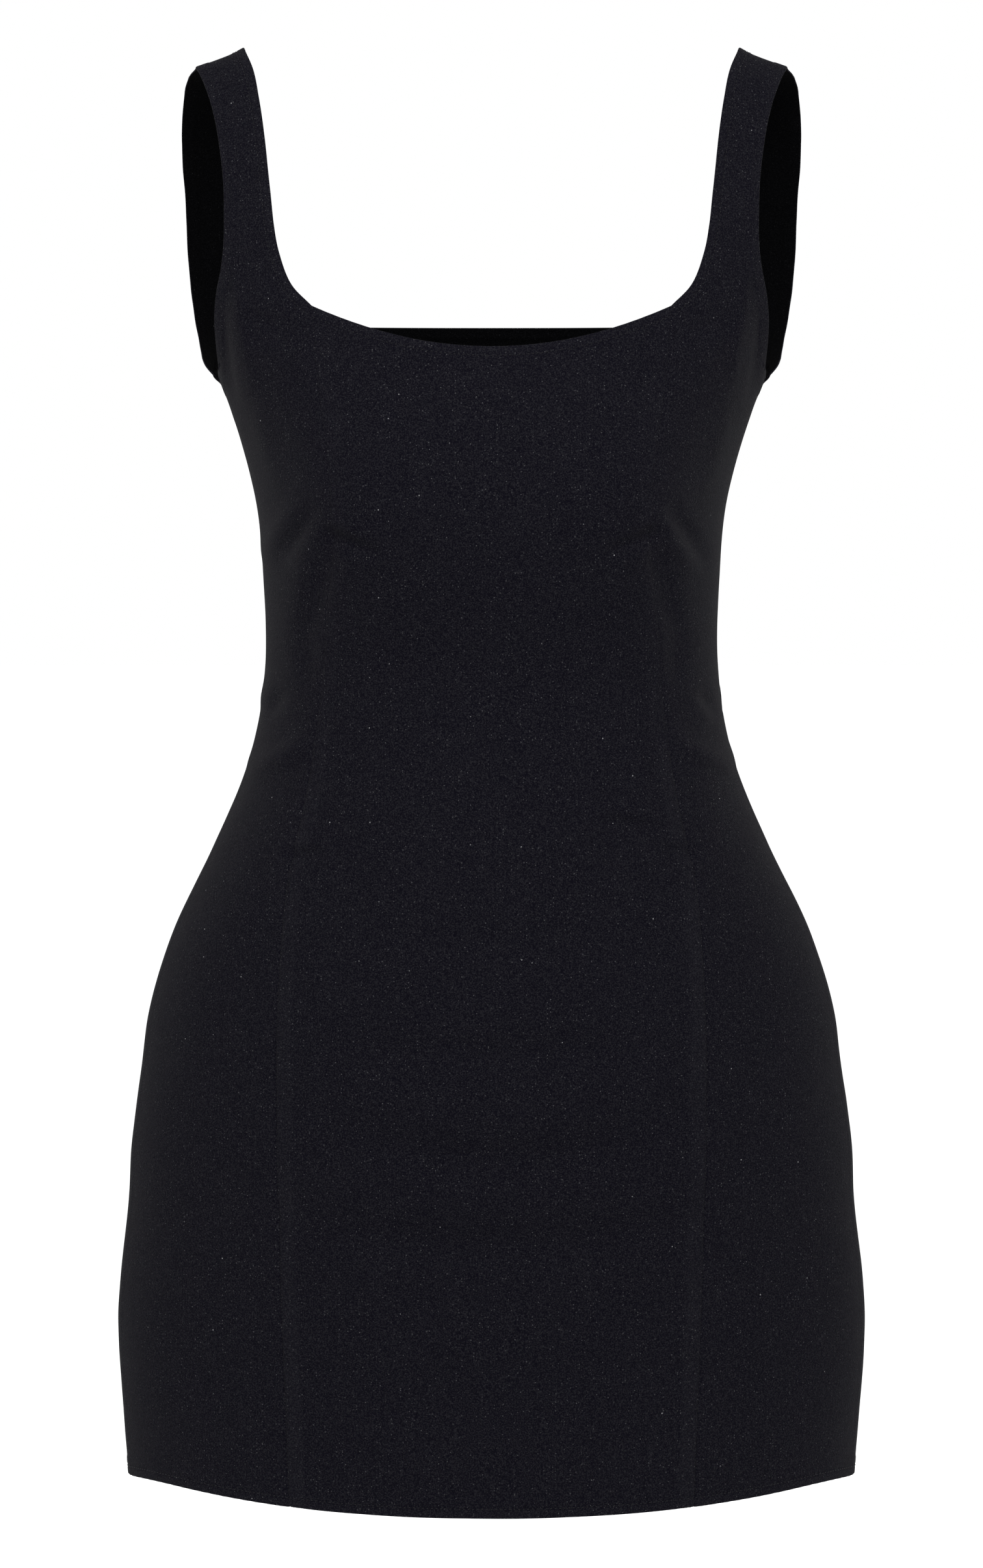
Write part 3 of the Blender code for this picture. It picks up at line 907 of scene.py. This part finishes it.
# ---- Stage, light and camera, in metres ----
FLOOR_DROP = 1.36         # a shoulder's height over the floor
FLOOR_REACH = 30.0        # half of the floor's side
CAMERA_DISTANCE = 2.2
CAMERA_DROP = 0.2728
CAMERA_TILT = 3.685       # degrees below the level
CAMERA_LENS = 88.63       # millimetres, as is the sensor's width
SENSOR = 36.0

# A large light before and above the dress, and weak ones beside it. Those behind it draw the pale
# band along its outline.
Softbox = namedtuple("Softbox", "name place aim width height watts")
SOFTBOXES = (
    Softbox("key", (0, -1.9, 1.3), (0, 0, -0.3), 1.6, 0.8, 90),
    Softbox("left", (2.2, -0.5, -0.1), (0, 0, -0.3), 0.5, 1.6, 9),
    Softbox("right", (-2.2, -0.5, -0.1), (0, 0, -0.3), 0.5, 1.6, 9),
    Softbox("left_rim", (1.7, 1.6, -0.2), (0, 0, -0.4), 0.5, 1.6, 9),
    Softbox("right_rim", (-1.7, 1.6, -0.2), (0, 0, -0.4), 0.5, 1.6, 9),
)


def add_stage():
    corners = [(FLOOR_REACH * x, FLOOR_REACH * y, -FLOOR_DROP)
               for x, y in ((-1, -1), (1, -1), (1, 1), (-1, 1))]
    floor = add_mesh("floor", corners, [(0, 1, 2, 3)], (floor_material(),))


def add_lights():
    world = bpy.data.worlds.new("studio")
    world.use_nodes = True
    background = world.node_tree.nodes["Background"]
    background.inputs["Color"].default_value = WHITE
    background.inputs["Strength"].default_value = 1.0
    bpy.context.scene.world = world
    for box in SOFTBOXES:
        data = bpy.data.lights.new(box.name, "AREA")
        data.shape = "RECTANGLE"
        data.size, data.size_y, data.energy = box.width, box.height, box.watts
        lamp = add_object(box.name, data)
        lamp.location = box.place
        aim = Vector(box.aim) - Vector(box.place)
        lamp.rotation_euler = aim.to_track_quat("-Z", "Y").to_euler()
        lamp.visible_camera = False


def add_camera():
    data = bpy.data.cameras.new("camera")
    data.sensor_width = SENSOR
    data.lens = CAMERA_LENS
    camera = add_object("camera", data)
    camera.location = (0, -CAMERA_DISTANCE, -CAMERA_DROP)
    camera.rotation_euler = (np.radians(90 - CAMERA_TILT), 0, 0)
    bpy.context.scene.camera = camera


# ---- The whole dress ----
# The flat cut of what shows of each panel, in metres and square metres. The crepe is stretched
# by about a twentieth across, and not at all down, when the dress is filled.
Cut = namedtuple("Cut", "name width length area")


def joins(panel, other):
    """Whether a seam joins these two panels."""
    if panel.centre or other.centre:
        return panel.face == other.face and panel.centre != other.centre
    return panel.face != other.face and panel.mirrored == other.mirrored


def build():
    crepe = crepe_material(RIGHT_SIDE)
    # for the inner faces, darkened as painted shade
    wrong_side_painted_shade = crepe_material(WRONG_SIDE_PAINTED_SHADE)
    thread = thread_material()
    front_side = side_grid("front", FRONT_SEAM, FRONT_STRAP_EDGE, FRONT_ARMHOLE)
    back_side = side_grid("back", BACK_SEAM, BACK_STRAP_EDGE, BACK_ARMHOLE)
    panels = (
        Panel("front_centre", "front", *centre_grid("front", FRONT_SEAM, front_neck_drop), centre=True),
        Panel("back_centre", "back", *centre_grid("back", BACK_SEAM, back_neck_drop), centre=True),
        Panel("front_side_left", "front", *front_side),
        Panel("front_side_right", "front", *front_side, mirrored=True),
        Panel("back_side_left", "back", *back_side),
        Panel("back_side_right", "back", *back_side, mirrored=True),
    )
    for panel in panels:
        cloth, stitches = build_panel(panel, crepe, wrong_side_painted_shade, thread)
        for piece in (cloth, stitches):
            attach(piece, "root")
        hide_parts(panel.name)
        sewn_to = [other.name + "_cloth" for other in panels if joins(panel, other)]
    add_stage()
    add_lights()
    add_camera()
    bpy.context.scene.view_settings.view_transform = "Standard"


build()
